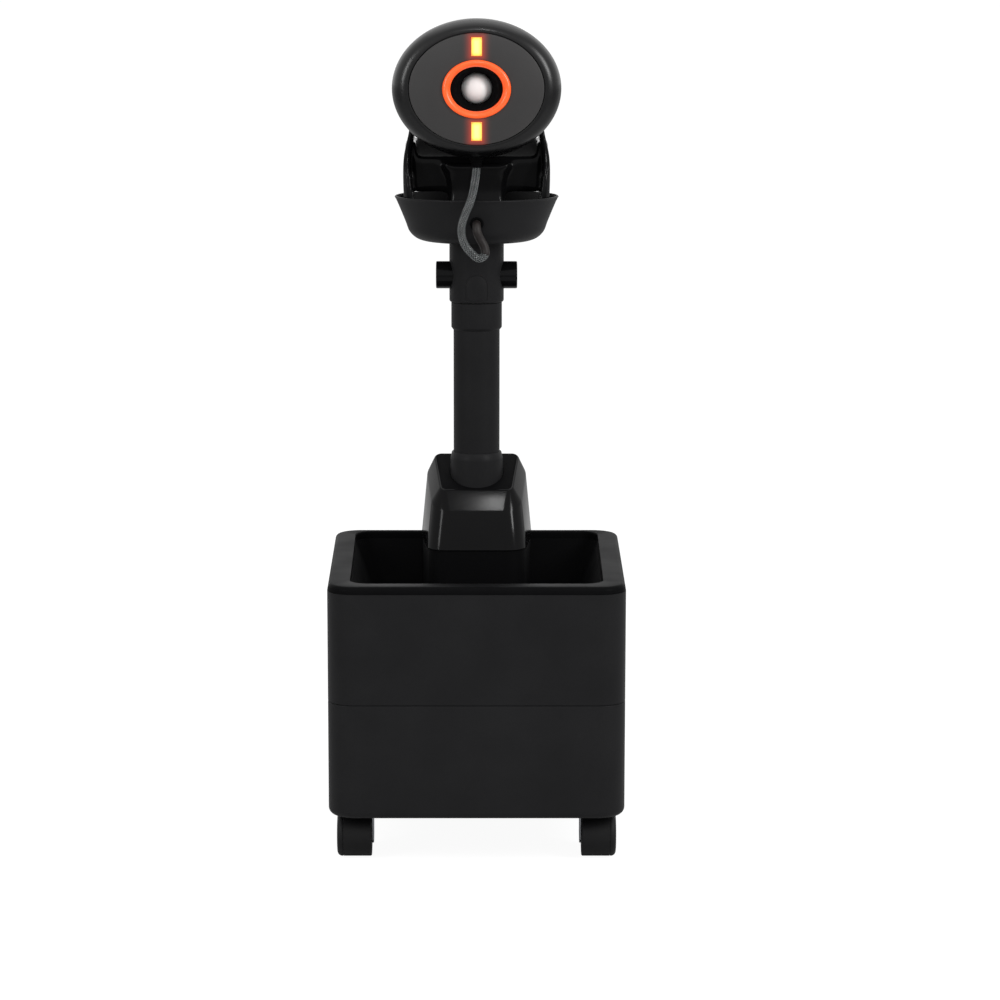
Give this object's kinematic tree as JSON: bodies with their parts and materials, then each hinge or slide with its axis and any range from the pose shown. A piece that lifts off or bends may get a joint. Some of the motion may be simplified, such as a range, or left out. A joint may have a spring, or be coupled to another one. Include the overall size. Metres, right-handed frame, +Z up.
{
  "type": "table tennis robot",
  "caption": "Free-standing table tennis robot: open ball bin on wheels, ball-lift column, tray and cradle, and an oval throwing head that turns and nods, with an orange-ringed muzzle.",
  "frame": {"origin": "on the floor, in the middle of the box that the object fills without its free head cable", "axes": "+Z up, -Y towards the table (the way the balls leave), +X to the right as seen from the table"},
  "size_m": [0.378, 0.4292, 1.038],
  "materials": {
    "satin_black": "satin moulded",
    "gloss_black": "gloss moulded",
    "deep_black": "matte",
    "face_grey": "satin",
    "orange_ring": "gloss",
    "light_bar": "lit",
    "steel": "machined",
    "black_rubber": "matte",
    "throw_rubber": "matte",
    "dark_nylon": "moulded",
    "white_nylon": "moulded",
    "battery_blue": "shrink film",
    "board_green": "solder mask",
    "ball_white": "matte celluloid",
    "braided_sleeve": "braided"
  },
  "bodies": {
    "base": {"base_tub": "satin_black", "upper_shell": "satin_black", "bin_rim": "gloss_black", "bin_funnel": "deep_black", "tower_foot": "deep_black", "tower_shell": "gloss_black", "tower_top_plate": "deep_black", "feed_chamber": "deep_black", "feed_motor": "steel", "ball_tube": "dark_nylon", "battery_pack": "battery_blue", "control_board": "board_green", "charge_socket": "deep_black", "front_bracket_left": "steel", "front_bracket_right": "steel", "caster_plate_left": "steel", "caster_plate_right": "steel", "bottom_collar": "satin_black", "main_tube": "satin_black", "column_sleeve": "satin_black"},
    "rotor": {"feed_rotor": "dark_nylon", "rotor_gear": "white_nylon"},
    "rotor_pinion": {"feed_pinion": "steel"},
    "rocker": {"power_switch": "gloss_black"},
    "wheel_left": {"front_wheel_left": "black_rubber"},
    "wheel_right": {"front_wheel_right": "black_rubber"},
    "fork_left": {"caster_fork_left": "steel"},
    "fork_right": {"caster_fork_right": "steel"},
    "caster_left": {"caster_wheel_left": "black_rubber"},
    "caster_right": {"caster_wheel_right": "black_rubber"},
    "collar": {"upper_collar": "satin_black", "yaw_gear": "white_nylon"},
    "button_left": {"side_button_left": "gloss_black"},
    "button_right": {"side_button_right": "gloss_black"},
    "key": {"front_key": "satin_black"},
    "carrier": {"tray": "satin_black", "tray_grommet": "deep_black", "cradle": "gloss_black", "pitch_pin_left": "steel", "pitch_pin_right": "steel", "yaw_motor": "steel", "head_cable": "braided_sleeve"},
    "carrier_pinion": {"yaw_pinion": "steel"},
    "head": {"head_front_shell": "gloss_black", "head_rear_shell": "gloss_black", "face_plate": "face_grey", "muzzle_ring": "orange_ring", "led_bar_upper": "light_bar", "led_bar_lower": "light_bar", "muzzle_tube": "deep_black", "throw_frame": "steel", "throw_motor_upper": "steel", "throw_motor_lower": "steel", "feed_elbow": "dark_nylon", "pitch_motor": "steel", "cable_gland": "deep_black"},
    "head_pinion": {"pitch_pinion": "steel"},
    "thrower_upper": {"throw_wheel_upper": "throw_rubber"},
    "thrower_lower": {"throw_wheel_lower": "throw_rubber"},
    "ball": {"ready_ball": "ball_white"}
  },
  "joints": [
    {"name": "feed_spin", "type": "hinge", "parent": "base", "child": "rotor", "pos_m": [0, 0.0254, 0.12], "axis": [0, 0, 1], "continuous": true},
    {"name": "feed_pinion_spin", "type": "hinge", "parent": "base", "child": "rotor_pinion", "pos_m": [0.06, 0.0254, 0.097], "axis": [0, 0, 1], "continuous": true},
    {"name": "power_rocker", "type": "hinge", "parent": "base", "child": "rocker", "pos_m": [-0.06, 0.1939, 0.12], "axis": [1, 0, 0], "range_deg": [-8, 8]},
    {"name": "front_wheel_left_spin", "type": "hinge", "parent": "base", "child": "wheel_left", "pos_m": [-0.153, -0.1496, 0.029], "axis": [1, 0, 0], "continuous": true},
    {"name": "front_wheel_right_spin", "type": "hinge", "parent": "base", "child": "wheel_right", "pos_m": [0.153, -0.1496, 0.029], "axis": [1, 0, 0], "continuous": true},
    {"name": "caster_left_swivel", "type": "hinge", "parent": "base", "child": "fork_left", "pos_m": [-0.138, 0.1224, 0.058], "axis": [0, 0, 1], "continuous": true},
    {"name": "caster_right_swivel", "type": "hinge", "parent": "base", "child": "fork_right", "pos_m": [0.138, 0.1224, 0.058], "axis": [0, 0, 1], "continuous": true},
    {"name": "caster_left_spin", "type": "hinge", "parent": "fork_left", "child": "caster_left", "pos_m": [-0.138, 0.1394, 0.026], "axis": [1, 0, 0], "continuous": true},
    {"name": "caster_right_spin", "type": "hinge", "parent": "fork_right", "child": "caster_right", "pos_m": [0.138, 0.1394, 0.026], "axis": [1, 0, 0], "continuous": true},
    {"name": "head_release", "type": "slide", "parent": "base", "child": "collar", "axis": [0, 0, 1], "range_m": [0, 0.085]},
    {"name": "button_left_press", "type": "slide", "parent": "collar", "child": "button_left", "axis": [1, 0, 0], "range_m": [0, 0.004], "stiffness_N_per_m": 1500, "springref_m": -0.002},
    {"name": "button_right_press", "type": "slide", "parent": "collar", "child": "button_right", "axis": [-1, 0, 0], "range_m": [0, 0.004], "stiffness_N_per_m": 1500, "springref_m": -0.002},
    {"name": "key_press", "type": "slide", "parent": "collar", "child": "key", "axis": [0, 1, 0], "range_m": [0, 0.0009], "stiffness_N_per_m": 2000, "springref_m": -0.001},
    {"name": "head_yaw", "type": "hinge", "parent": "collar", "child": "carrier", "pos_m": [0, 0.1084, 0.766], "axis": [0, 0, 1], "range_deg": [-35, 35]},
    {"name": "yaw_pinion_spin", "type": "hinge", "parent": "carrier", "child": "carrier_pinion", "pos_m": [0, 0.1584, 0.766], "axis": [0, 0, 1], "range_deg": [-66, 66]},
    {"name": "head_pitch", "type": "hinge", "parent": "carrier", "child": "head", "pos_m": [0, 0.1084, 0.95], "axis": [1, 0, 0], "range_deg": [-35, 10], "deforming": ["head_cable"]},
    {"name": "pitch_pinion_spin", "type": "hinge", "parent": "head", "child": "head_pinion", "pos_m": [-0.0495, 0.1369, 0.95], "axis": [1, 0, 0], "range_deg": [-61, 18]},
    {"name": "throw_upper_spin", "type": "hinge", "parent": "head", "child": "thrower_upper", "pos_m": [0, 0.061, 0.9915], "axis": [1, 0, 0], "continuous": true},
    {"name": "throw_lower_spin", "type": "hinge", "parent": "head", "child": "thrower_lower", "pos_m": [0, 0.061, 0.9085], "axis": [1, 0, 0], "continuous": true},
    {"name": "ball_launch", "type": "slide", "parent": "head", "child": "ball", "axis": [0, -1, 0], "range_m": [0, 0.1]}
  ],
  "couplings": [
    {"joint": "feed_pinion_spin", "follows": "feed_spin", "ratio": -1.8571},
    {"joint": "yaw_pinion_spin", "follows": "head_yaw", "ratio": 1.8571},
    {"joint": "pitch_pinion_spin", "follows": "head_pitch", "ratio": 1.7143}
  ]
}
